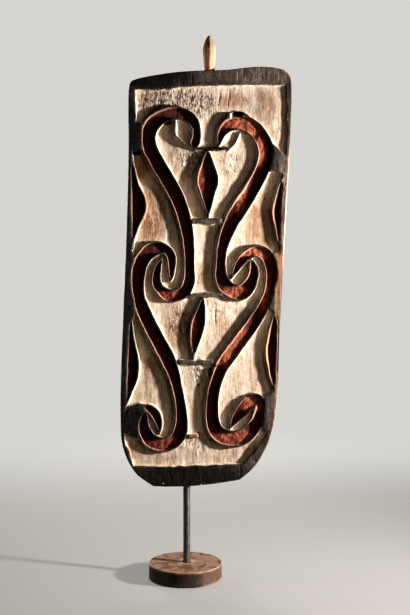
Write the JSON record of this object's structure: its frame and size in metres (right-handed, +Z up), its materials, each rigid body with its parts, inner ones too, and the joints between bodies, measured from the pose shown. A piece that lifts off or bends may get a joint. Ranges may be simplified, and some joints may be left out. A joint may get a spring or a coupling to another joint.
{
  "type": "asmat shield",
  "caption": "Tall carved and painted wooden shield with scrolling bands and a pointed peg, held upright by a rod in a round wooden foot.",
  "frame": {"origin": "middle of the round foot's underside, on the surface that it stands on", "axes": "+Z up along the shield, +Y out of the back of the shield, -Y out of its carved face, +X to the right as the carved face is seen"},
  "size_m": [0.3675, 0.157, 1.166],
  "materials": {
    "painted_board": "light wood limewashed white, red ochre channels, charcoal black rim and ridges, all matt and worn",
    "bare_peg": "bare whittled pale wood",
    "dark_rod": "dark satin steel",
    "foot_wood": "mottled brown wood with a dull wax finish"
  },
  "bodies": {
    "root": {"shield_board": "painted_board", "top_peg": "bare_peg", "support_rod": "dark_rod", "base_disc": "foot_wood"}
  },
  "joints": []
}
